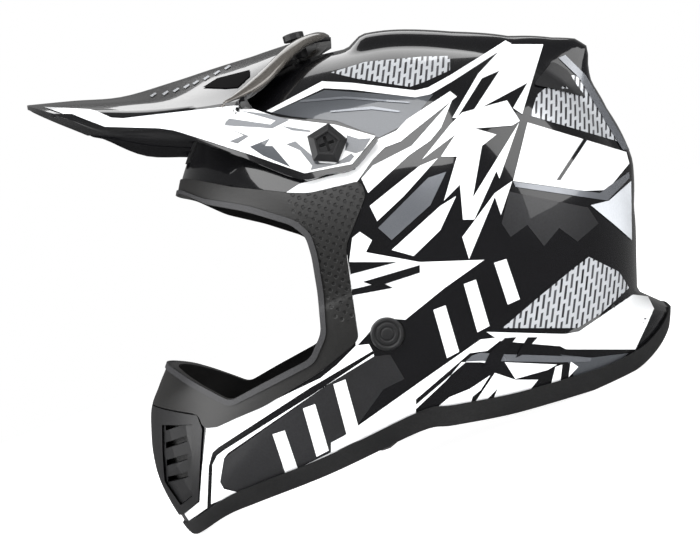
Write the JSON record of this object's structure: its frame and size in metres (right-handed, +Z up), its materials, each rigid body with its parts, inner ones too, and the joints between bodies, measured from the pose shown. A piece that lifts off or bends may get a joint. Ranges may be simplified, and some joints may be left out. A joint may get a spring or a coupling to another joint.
{
  "type": "motocross helmet",
  "caption": "Full-face off-road helmet with a long adjustable peak, open eye port, vented chin bar, foam liner, pads and a double-ring chin strap.",
  "frame": {"origin": "middle of the base, on the surface the helmet rests on", "axes": "+Z up, the wearer faces -X, +Y to the wearer's right; the helmet rests tipped back on its chin and rear edge"},
  "size_m": [0.3638, 0.2464, 0.3016],
  "materials": {
    "gloss_shell": "gloss black paint with white, grey and silver shards under clear coat",
    "peak_plastic": "gloss black top with white panels, matt dark grey underside",
    "matt_black": "moulded black plastic, fine grain",
    "edge_rubber": "matt black rubber",
    "grey_mesh": "fine dust mesh",
    "foam": "black expanded foam with a beaded surface",
    "lining": "brushed black lining cloth over soft foam",
    "webbing": "ribbed black webbing",
    "steel": "plated steel"
  },
  "bodies": {
    "helmet": {"outer_shell": "gloss_shell", "eyeport_trim": "matt_black", "mouthpiece": "matt_black", "chin_grille_left": "matt_black", "chin_grille_right": "matt_black", "mouth_mesh": "grey_mesh", "neck_trim": "edge_rubber", "brow_vent_left": "matt_black", "brow_vent_right": "matt_black", "rear_vent_left": "matt_black", "rear_vent_right": "matt_black", "crown_liner": "foam", "chin_liner_left": "foam", "chin_liner_right": "foam", "comfort_liner": "lining", "cheek_pad_left": "lining", "cheek_pad_right": "lining", "neck_roll": "lining", "peak_spacer": "matt_black", "peak_insert_left": "steel", "peak_insert_right": "steel", "strap_cap_left": "matt_black", "strap_cap_right": "matt_black", "strap_plate_left": "steel", "strap_plate_right": "steel", "strap_rivet_left": "steel", "strap_rivet_right": "steel", "chin_strap_left": "webbing", "chin_strap_right": "webbing"},
    "peak": {"peak": "peak_plastic"},
    "knob_left": {"peak_knob_left": "matt_black"},
    "knob_right": {"peak_knob_right": "matt_black"},
    "top_screw": {"peak_top_screw": "matt_black"},
    "ring_outer": {"d_ring_outer": "steel"},
    "ring_inner": {"d_ring_inner": "steel"}
  },
  "joints": [
    {"name": "peak_tilt", "type": "hinge", "parent": "helmet", "child": "peak", "pos_m": [-0.00066, 0, 0.19418], "axis": [0, 1, 0], "range_deg": [-5, 5]},
    {"name": "knob_turn_left", "type": "hinge", "parent": "helmet", "child": "knob_left", "pos_m": [-0.00066, -0.12, 0.19418], "axis": [0, -1, 0], "continuous": true},
    {"name": "knob_turn_right", "type": "hinge", "parent": "helmet", "child": "knob_right", "pos_m": [-0.00066, 0.12, 0.19418], "axis": [0, 1, 0], "continuous": true},
    {"name": "screw_turn", "type": "hinge", "parent": "helmet", "child": "top_screw", "pos_m": [0.0071, 0, 0.27782], "axis": [0.0924, 0, 0.9957], "continuous": true},
    {"name": "ring_outer_swing", "type": "hinge", "parent": "helmet", "child": "ring_outer", "pos_m": [-0.0328, -0.0618, 0.0282], "axis": [0.9291, 0, -0.3698], "range_deg": [0, 60]},
    {"name": "ring_inner_swing", "type": "hinge", "parent": "helmet", "child": "ring_inner", "pos_m": [-0.0328, -0.0652, 0.0282], "axis": [0.9291, 0, -0.3698], "range_deg": [-25, 0]}
  ]
}
